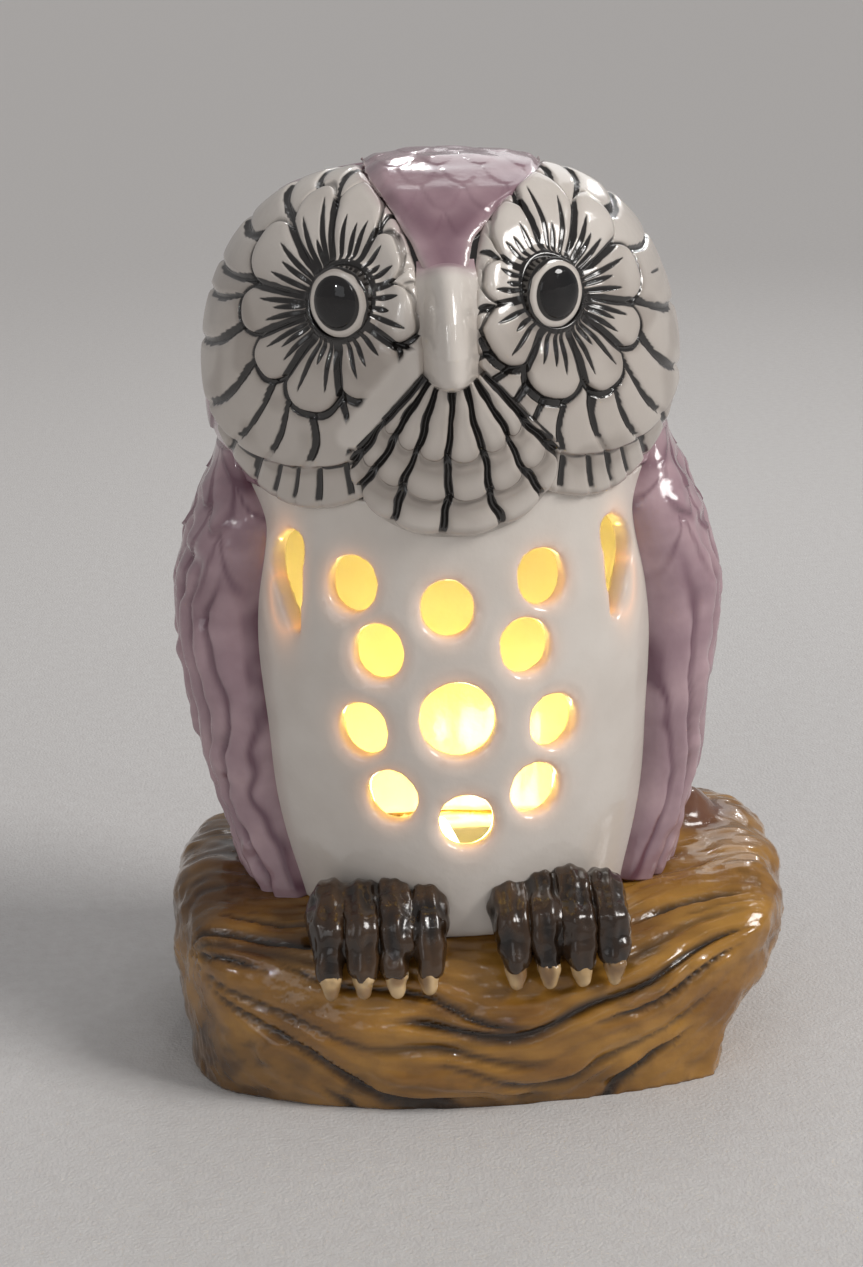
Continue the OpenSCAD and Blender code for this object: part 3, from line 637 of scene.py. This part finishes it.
def wing(side):
    node = "left_wing" if side < 0 else "right_wing"
    bottom, top = 29.5, 104.5
    z = np.linspace(bottom, top, 250)[:, None]
    t = np.linspace(0, 1, 170)[None, :]
    climb = (z - bottom) / (top - bottom)
    front = np.radians(-31 + 10 * smooth(0.84, 1, climb) - 3 * smooth(0.35, 0, climb) + 1.2 * np.sin(z / 5.5))
    back = np.radians(66 - 30 * smooth(0.8, 1, climb) - 30 * smooth(0.45, 0, climb) + 2 * np.sin(z / 4.3))
    q = front + (back - front) * t
    base = on_form(q, z + 0 * q)
    out = normals(base)
    most = np.interp(climb, [0, 0.2, 0.45, 0.66, 0.8, 0.9, 0.96, 1], [4.2, 5.6, 7.2, 8.9, 8.0, 5.6, 3.0, 0.8])
    bulge = (1 - (1 - np.clip(t / 0.15, 0, 1)) ** 2) ** 0.5 * (1 - smooth(0.45, 1, t) * 0.98)
    across = (q - front) * 36
    seed = base * [side, 1, 1]
    wander = noise(seed * [1, 1, 0.35], 5.5, 9) * 1.5 + noise(seed * [1, 1, 0.6], 2.6, 4) * 0.5
    cords = np.abs(np.sin((across + 1.4 * np.sin(z / 12 + 0.4) + 1.2 * wander) * math.pi / 3.9)) ** 0.8
    plumes = smooth(0.80, 0.60, climb)
    down = 104 - z + 3 * np.sin(across * 0.5) + wander
    height, edge = scales(across + 2 * np.sin(z / 9) + 0.8 * wander, down, 7.0, 8.6)
    lumps = noise(seed * [1, 1, 0.6], 6, 3) * 0.8 + noise(seed, 2.6, 6) * 0.5
    relief = plumes * (1.9 * cords - 1.0) + (1 - plumes) * (0.9 * height - 0.4) + lumps
    edge_soft = smooth(0, 0.12, t) * smooth(1, 0.9, t) * smooth(1, 0.94, climb)
    thick = np.maximum(most * bulge + relief * edge_soft, 0.05)
    thick[0] = np.maximum(thick[0], 0.3)
    base_out = base + out * thick[..., None]
    # Painted shade in the valleys between the cords and at the upper feathers' edges; lighter on the lumps.
    deep = plumes * smooth(0.75, 0.05, cords) * 0.85 + (1 - plumes) * smooth(2.6, 0, edge) * 0.6
    deep = deep - 0.35 * lumps + 0.1
    base_in = base - out * 0.3
    if side < 0:
        base_out, base_in = base_out * [-1, 1, 1], base_in * [-1, 1, 1]
        base_out, base_in, deep = base_out[:, ::-1], base_in[:, ::-1], deep[:, ::-1]
    obj = thick_sheet("wing_left" if side < 0 else "wing_right", base_out, base_in)
    coat(obj, ink=0 * deep, wash=0 * deep, mauve=1 + 0 * deep, deep=deep)
    return stands_for(obj, node, GLAZE)


def tail():
    obj = modelled("tail_feathers", "tail", 0.5, 8)
    p = points(obj)
    rib = np.abs(np.sin((p[:, 0] + 0.8 * noise(p, 6, 2)) * math.pi / 5.2))
    put_points(obj, p + directions(obj) * (0.6 * rib + 0.35 * noise(p, 3, 3))[:, None])
    # Painted shade in the valleys between the ribs; also darker towards the bottom and at random.
    deep = 0.8 * smooth(0.6, 0.05, rib) + 0.3 * noise(p, 5, 2) + 0.25 * smooth(62, 12, p[:, 2])
    coat(obj, ink=0 * deep, wash=0 * deep, mauve=1 + 0 * deep, deep=deep)
    return stands_for(obj, "tail", GLAZE)


# ---------- log and feet ----------

LOG_X, LOG_HALF, LOG_RISE = 3.0, 52.0, 10.4
# Grooves along the log: angle round it, where they start and end along it, and half width in mm.
GROOVES = [(1.35, -44, -8, 0.9), (0.86, -50, -14, 1.5), (0.50, -51, -18, 1.7), (0.12, -52, -30, 0.9),
           (0.30, -34, 12, 0.6), (0.52, 14, 52, 1.5), (0.10, -16, 50, 0.9), (-0.22, -50, 16, 0.8),
           (-0.42, -10, 44, 0.7), (1.12, 24, 50, 1.1), (0.82, 30, 53, 0.9), (-0.62, -46, 2, 0.8),
           (-0.80, -28, 38, 0.7), (1.5, -30, 4, 0.6), (-0.06, 16, 48, 0.6)]


def log_middle(x):
    return 12.6 + LOG_RISE * ((x - LOG_X) / LOG_HALF) ** 2


def bark_grooves(p):
    """Depth, 0 to 1, of the grooves along the log that turn up at its ends, and the angle they follow."""
    x = p[:, 0]
    end = ((x - LOG_X) / LOG_HALF) ** 2
    turn = np.arctan2(p[:, 2] - log_middle(x), np.abs(p[:, 1]) - 22)
    back = (p[:, 1] > 0) * 1.0
    sway = turn - (0.55 - 0.35 * back) * end + 0.07 * np.sin(x / 9 + back) + 0.05 * np.sin(x / 4.1 + 2 * turn)
    sway = sway + 0.06 * noise(p * [0.4, 1, 1], 7, 4)
    depth = np.zeros(len(p))
    for k, (at, first, last, width) in enumerate(GROOVES):
        taper = smooth(first, first + 9, x) * smooth(last, last - 9, x)
        away = np.abs(sway - at - 0.1 * np.sin(x / 17 + k)) * 19
        groove = bell(away, width * (0.5 + 0.6 * taper)) * taper * (0.75 + 0.25 * np.sin(k * 2.3))
        depth = np.maximum(depth, groove)
    return depth, sway


def log():
    obj = modelled("log", "perch_log", 0.75, 10, 0.0)
    p = points(obj)
    out = directions(obj)
    level = p[:, 2] - log_middle(p[:, 0])
    outward = (p[:, 1] * out[:, 1] + level * out[:, 2] * 2 + (p[:, 0] - LOG_X) * out[:, 0] * 0.6) > 0
    end = ((p[:, 0] - LOG_X) / LOG_HALF) ** 2
    hull = np.hypot(p[:, 1] / 37, level / (15 - 5.8 * end))
    shell = outward * smooth(0.76, 0.88, np.maximum(hull, np.abs(p[:, 0] - LOG_X) / 50))
    shell = shell * smooth(0.2, 1.4, p[:, 2])
    depth, sway = bark_grooves(p)
    stretch = p * [0.3, 1, 1]
    grain = noise(stretch, 1.5, 5)
    fine = np.sin(sway * 40 + 3 * noise(stretch, 5, 1))
    swell = noise(stretch, 6.5, 2)
    calm = 0.35 + 0.65 * smooth(0.9, 0.5, np.abs(p[:, 0] - LOG_X) / LOG_HALF)
    relief = -1.5 * depth + 0.22 * grain + 0.75 * swell + 0.2 * fine * calm + 0.3 * noise(p, 3, 7)
    p = p + out * (relief * shell)[:, None]
    p[:, 2] = p[:, 2] * smooth(0.1, 2.2, p[:, 2])
    put_points(obj, p)
    # Darker in random blotches and towards the bottom.
    dark_blotches_and_bottom = smooth(0.0, 0.6, noise(stretch, 9, 8)) * 0.6 + smooth(11, 1, p[:, 2]) * 0.45
    # Painted shade: darker at the left end and further back from the front, lighter towards the right end, as
    # the light falls from the right.
    left = smooth(-15, -45, p[:, 0]) * 0.4 + smooth(-24, 0, p[:, 1]) * 0.2 - 0.15 * smooth(5, 35, p[:, 0])
    # Darker in the grooves, in the blotches and in the painted shade on the left; lighter on the swells.
    deep = depth + 0.28 * smooth(0.1, 0.7, -grain) + dark_blotches_and_bottom * 0.5 + left - 0.3 * swell
    spots = smooth(0.42, 0.6, noise(p * [0.6, 1, 1], 1.4, 9)) * dark_blotches_and_bottom
    plum = smooth(10, 5, np.linalg.norm(p - [41, 5, 33], axis=1)) * 0.75
    bare = smooth(0.4, 0.05, shell) * smooth(2, 4, p[:, 2])
    coat(obj, deep=deep, ink=0.9 * depth**1.5 + 0.6 * spots, plum=plum, bare=bare)
    return stands_for(obj, "perch_log", LOG)


def foot(side):
    name = "left" if side < 0 else "right"
    obj = modelled("foot_" + name, name + "_foot", 0.35, 5)
    p = points(obj)
    ribs = np.sin(p[:, 0] * 3.1 + 1.6 * noise(p, 4, 2))
    knobs = noise(p, 3.2, 2) * 0.5 + noise(p, 1.5, 4) * 0.25 + 0.16 * ribs
    put_points(obj, p + directions(obj) * (0.45 + knobs)[:, None])
    coat(obj, deep=smooth(-0.3, 0.5, -knobs), ink=0 * knobs, plum=0 * knobs)
    return stands_for(obj, name + "_foot", FOOT)


def claws(side):
    name = "left" if side < 0 else "right"
    obj = modelled("claws_" + name, name + "_claws", 0.22, 4)
    p = points(obj)
    put_points(obj, p + directions(obj) * (0.4 + 0.25 * noise(p, 1.2, 2))[:, None])
    coat(obj, deep=smooth(-0.2, 0.7, noise(p, 2, 5)), ink=0 * p[:, 0], plum=0 * p[:, 0])
    return stands_for(obj, name + "_claws", CLAW)


# ---------- materials ----------

def nodes_of(name):
    material = bpy.data.materials.new(name)
    material.use_nodes = True
    tree = material.node_tree
    return material, tree, tree.nodes["Principled BSDF"]


def layer(tree, name):
    node = tree.nodes.new("ShaderNodeAttribute")
    node.attribute_name = name
    return node.outputs["Fac"]


def lumps(tree, scale, detail=3.0, stretch=None):
    place = tree.nodes.new("ShaderNodeTexCoord")
    node = tree.nodes.new("ShaderNodeTexNoise")
    node.inputs["Scale"].default_value = scale
    node.inputs["Detail"].default_value = detail
    source = place.outputs["Object"]
    if stretch:
        mapping = tree.nodes.new("ShaderNodeMapping")
        mapping.inputs["Scale"].default_value = stretch
        tree.links.new(source, mapping.inputs["Vector"])
        source = mapping.outputs["Vector"]
    tree.links.new(source, node.inputs["Vector"])
    return node.outputs["Fac"]


def ramp(tree, value, low, high, a=0.0, b=1.0):
    node = tree.nodes.new("ShaderNodeMapRange")
    node.inputs["From Min"].default_value = low
    node.inputs["From Max"].default_value = high
    node.inputs["To Min"].default_value = a
    node.inputs["To Max"].default_value = b
    tree.links.new(value, node.inputs["Value"])
    return node.outputs["Result"]


def mix(tree, factor, a, b):
    node = tree.nodes.new("ShaderNodeMix")
    node.data_type = "RGBA"
    for value, socket in ((factor, node.inputs[0]), (a, node.inputs[6]), (b, node.inputs[7])):
        if hasattr(value, "is_linked"):
            tree.links.new(value, socket)
        elif isinstance(value, (int, float)):
            socket.default_value = value
        else:
            socket.default_value = (*value, 1)
    return node.outputs[2]


def bumps(tree, bsdf, value, distance, strength=1.0):
    node = tree.nodes.new("ShaderNodeBump")
    node.inputs["Distance"].default_value = distance
    node.inputs["Strength"].default_value = strength
    tree.links.new(value, node.inputs["Height"])
    tree.links.new(node.outputs["Normal"], bsdf.inputs["Normal"])


def glaze():
    """White glaze with painted black lines and painted shadow lines, a grey-brown tint washed into the
    hollows and partly painted shade on the lower parts, mauve feathers with painted shade in their hollows,
    and a painted orange glow round the openings.
    """
    material, tree, bsdf = nodes_of("painted_glaze")
    white = mix(tree, ramp(tree, lumps(tree, 90), 0.3, 0.7), (0.64, 0.585, 0.53), (0.71, 0.66, 0.605))
    mauve = mix(tree, ramp(tree, lumps(tree, 130), 0.35, 0.7), (0.36, 0.235, 0.27), (0.50, 0.345, 0.375))
    # Mauve goes darker where that layer is high: painted shade in the feathers' hollows and at their edges,
    # and uneven tone.
    mauve = mix(tree, ramp(tree, layer(tree, "deep"), 0.05, 0.9), mauve, (0.16, 0.075, 0.105))
    color = mix(tree, layer(tree, "mauve"), white, mauve)
    # Grey-brown tint where that layer is high: partly washed glaze, partly painted shade.
    color = mix(tree, ramp(tree, layer(tree, "wash"), 0.1, 1.0, 0.0, 0.72), color, (0.30, 0.255, 0.22))
    # Near black where that layer is high: black paint, and painted shadow lines under the petals and below
    # the band's edge.
    color = mix(tree, ramp(tree, layer(tree, "ink"), 0.1, 0.6), color, (0.012, 0.010, 0.009))
    tree.links.new(color, bsdf.inputs["Base Color"])
    tree.links.new(ramp(tree, lumps(tree, 400), 0.3, 0.7, 0.10, 0.2), bsdf.inputs["Roughness"])
    bsdf.inputs["Coat Weight"].default_value = 0.4
    bsdf.inputs["Coat Roughness"].default_value = 0.03
    bsdf.inputs["Specular IOR Level"].default_value = 0.6
    bumps(tree, bsdf, lumps(tree, 700, 4), 0.00006)
    # Painted glow: orange light given off by the glaze round the openings, though the glaze is no lamp.
    bsdf.inputs["Emission Color"].default_value = (1.0, 0.36, 0.07, 1)
    tree.links.new(ramp(tree, layer(tree, "glow"), 0.0, 1.0, 0.0, 0.45), bsdf.inputs["Emission Strength"])
    return material


def earth(name, light, dark, deepest, rough=(0.12, 0.25)):
    """Brown glaze: lighter on the ridges, darker in the grooves and where painted shade is laid on, and none
    on the pale inside.
    """
    material, tree, bsdf = nodes_of(name)
    color = mix(tree, ramp(tree, lumps(tree, 120, 5, (0.35, 1, 1)), 0.35, 0.65), light, dark)
    # Near the darkest brown where that layer is high: painted shade and the glaze's own uneven tone.
    color = mix(tree, ramp(tree, layer(tree, "deep"), 0.1, 1.1), color, deepest)
    color = mix(tree, layer(tree, "plum"), color, (0.10, 0.035, 0.04))
    color = mix(tree, layer(tree, "ink"), color, (0.012, 0.008, 0.005))
    color = mix(tree, layer(tree, "bare"), color, (0.74, 0.69, 0.61))
    tree.links.new(color, bsdf.inputs["Base Color"])
    tree.links.new(ramp(tree, lumps(tree, 300), 0.3, 0.7, *rough), bsdf.inputs["Roughness"])
    bsdf.inputs["Coat Weight"].default_value = 0.5
    bsdf.inputs["Coat Roughness"].default_value = 0.03
    bumps(tree, bsdf, lumps(tree, 650, 5), 0.00012)
    return material


def plain(name, color, other, rough=(0.3, 0.5), metal=0.0, scale=200, bump=0.00003):
    material, tree, bsdf = nodes_of(name)
    mottled = mix(tree, ramp(tree, lumps(tree, scale), 0.3, 0.7), color, other)
    tree.links.new(mottled, bsdf.inputs["Base Color"])
    tree.links.new(ramp(tree, lumps(tree, scale * 3), 0.3, 0.7, *rough), bsdf.inputs["Roughness"])
    bsdf.inputs["Metallic"].default_value = metal
    bumps(tree, bsdf, lumps(tree, scale * 4), bump)
    return material


def lit(name, color, strength):
    material = plain(name, (0.98, 0.86, 0.6), (1.0, 0.9, 0.68))
    bsdf = material.node_tree.nodes["Principled BSDF"]
    bsdf.inputs["Emission Color"].default_value = (*color, 1)
    bsdf.inputs["Emission Strength"].default_value = strength
    return material


GLAZE = glaze()
BLACK = plain("pupil_black", (0.008, 0.008, 0.009), (0.02, 0.018, 0.018), (0.03, 0.07))
LOG = earth("log_glaze", (0.43, 0.215, 0.038), (0.20, 0.085, 0.013), (0.026, 0.010, 0.004))
FOOT = earth("foot_glaze", (0.062, 0.031, 0.012), (0.026, 0.013, 0.006), (0.005, 0.003, 0.002), (0.14, 0.28))
CLAW = earth("claw_glaze", (0.66, 0.47, 0.25), (0.5, 0.33, 0.15), (0.22, 0.12, 0.05))
WHITE_PLASTIC = plain("white_plastic", (0.82, 0.8, 0.76), (0.86, 0.84, 0.8))
BLACK_PLASTIC = plain("black_plastic", (0.03, 0.03, 0.03), (0.05, 0.05, 0.05))
STEEL = plain("steel", (0.62, 0.61, 0.58), (0.7, 0.69, 0.66), (0.2, 0.35), 1.0)
FLAME = lit("lit_flame", (1.0, 0.84, 0.5), 14.0)
LAMP = lit("lit_lamp", (1.0, 0.75, 0.35), 12.0)


def tealight():
    """The tea light's pieces keep their CAD shapes and only take a material each."""
    made_of = {"tealight_cup": WHITE_PLASTIC, "cell_deck": WHITE_PLASTIC, "tealight_base": WHITE_PLASTIC,
               "battery_door": WHITE_PLASTIC, "switch_slider": BLACK_PLASTIC, "led_leads": STEEL,
               "positive_contact": STEEL, "negative_contact": STEEL, "coin_cell": STEEL,
               "flame_diffuser": FLAME, "led_lamp": LAMP}
    for node, material in made_of.items():
        mesh = NODES[node].data
        mesh.materials.clear()
        mesh.materials.append(material)


# ---------- light, floor and camera ----------

def lamp(name, kind, place, power, color=(1, 1, 1), size=0.1, aim=(0, 0, 0.07)):
    data = bpy.data.lights.new(name, kind)
    data.energy = power
    data.color = color
    if kind == "AREA":
        data.size = size
    elif kind == "POINT":
        data.shadow_soft_size = size
    obj = bpy.data.objects.new(name, data)
    bpy.context.scene.collection.objects.link(obj)
    obj.location = place
    obj.rotation_euler = (Vector(aim) - Vector(place)).to_track_quat("-Z", "Y").to_euler()
    return obj


def studio():
    mesh = bpy.data.meshes.new("floor")
    w = 60.0
    mesh.from_pydata([(-w, -w, 0), (w, -w, 0), (w, w, 0), (-w, w, 0)], [], [(0, 1, 2, 3)])
    floor = bpy.data.objects.new("floor", mesh)
    bpy.context.scene.collection.objects.link(floor)
    grey = plain("floor_grey", (0.60, 0.585, 0.575), (0.64, 0.63, 0.62), (0.6, 0.8), 0.0, 400, 0.0002)
    mesh.materials.append(grey)
    world = bpy.data.worlds.new("room")
    bpy.context.scene.world = world
    world.use_nodes = True
    world.node_tree.nodes["Background"].inputs["Color"].default_value = (0.84, 0.82, 0.82, 1)
    world.node_tree.nodes["Background"].inputs["Strength"].default_value = 0.34
    key = lamp("soft_key", "SUN", (0.68, -0.30, 0.60), 1.7, (1, 0.975, 0.95), aim=(0, 0, 0))
    key.data.angle = math.radians(22)
    lamp("soft_fill", "AREA", (-0.5, -0.7, 0.4), 0.4, (0.95, 0.97, 1), 0.4)
    lamp("soft_rim", "AREA", (0.2, 0.6, 0.5), 0.5, (1, 1, 1), 0.4)
    for k in range(8):
        turn = math.radians(-135 + 32 * k)
        place = (0.42 * math.cos(turn), 0.42 * math.sin(turn), 0.30 + 0.07 * (k % 3))
        lamp("spark", "AREA", place, 0.07, (1, 1, 1), 0.005)
    low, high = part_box("flame_diffuser")
    middle = (low + high) / 2
    glow = lamp("flame_light", "POINT", (middle.x, middle.y, high.z + 0.004), 0.052, (1.0, 0.80, 0.11), 0.004)
    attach(glow, "tealight")


def camera():
    pitch, yaw, roll, away = math.radians(17), math.radians(-2), math.radians(-2.3), 0.380
    back = np.array([math.sin(yaw) * math.cos(pitch), -math.cos(yaw) * math.cos(pitch), math.sin(pitch)])
    aim = np.array([-0.0031, 0, 0.0688])
    right = np.array([math.cos(yaw), math.sin(yaw), 0])
    up = np.cross(back, right)
    r = math.cos(roll) * right + math.sin(roll) * up
    u = -math.sin(roll) * right + math.cos(roll) * up
    place = aim + back * away
    matrix = Matrix([[r[i], u[i], back[i], place[i]] for i in range(3)] + [[0, 0, 0, 1]])
    data = bpy.data.cameras.new("camera")
    data.sensor_fit = "VERTICAL"
    data.sensor_height = 36
    data.lens = 63.45
    obj = bpy.data.objects.new("camera", data)
    bpy.context.scene.collection.objects.link(obj)
    obj.matrix_world = matrix
    bpy.context.scene.camera = obj


for hand in (-1, 1):
    face_disc(hand)
    eyes(hand)
    wing(hand)
    foot(hand)
    claws(hand)
chin_bib()
nose()
brow()
head()
body()
tail()
log()
tealight()
studio()
camera()
bpy.context.scene.view_settings.view_transform = "Standard"
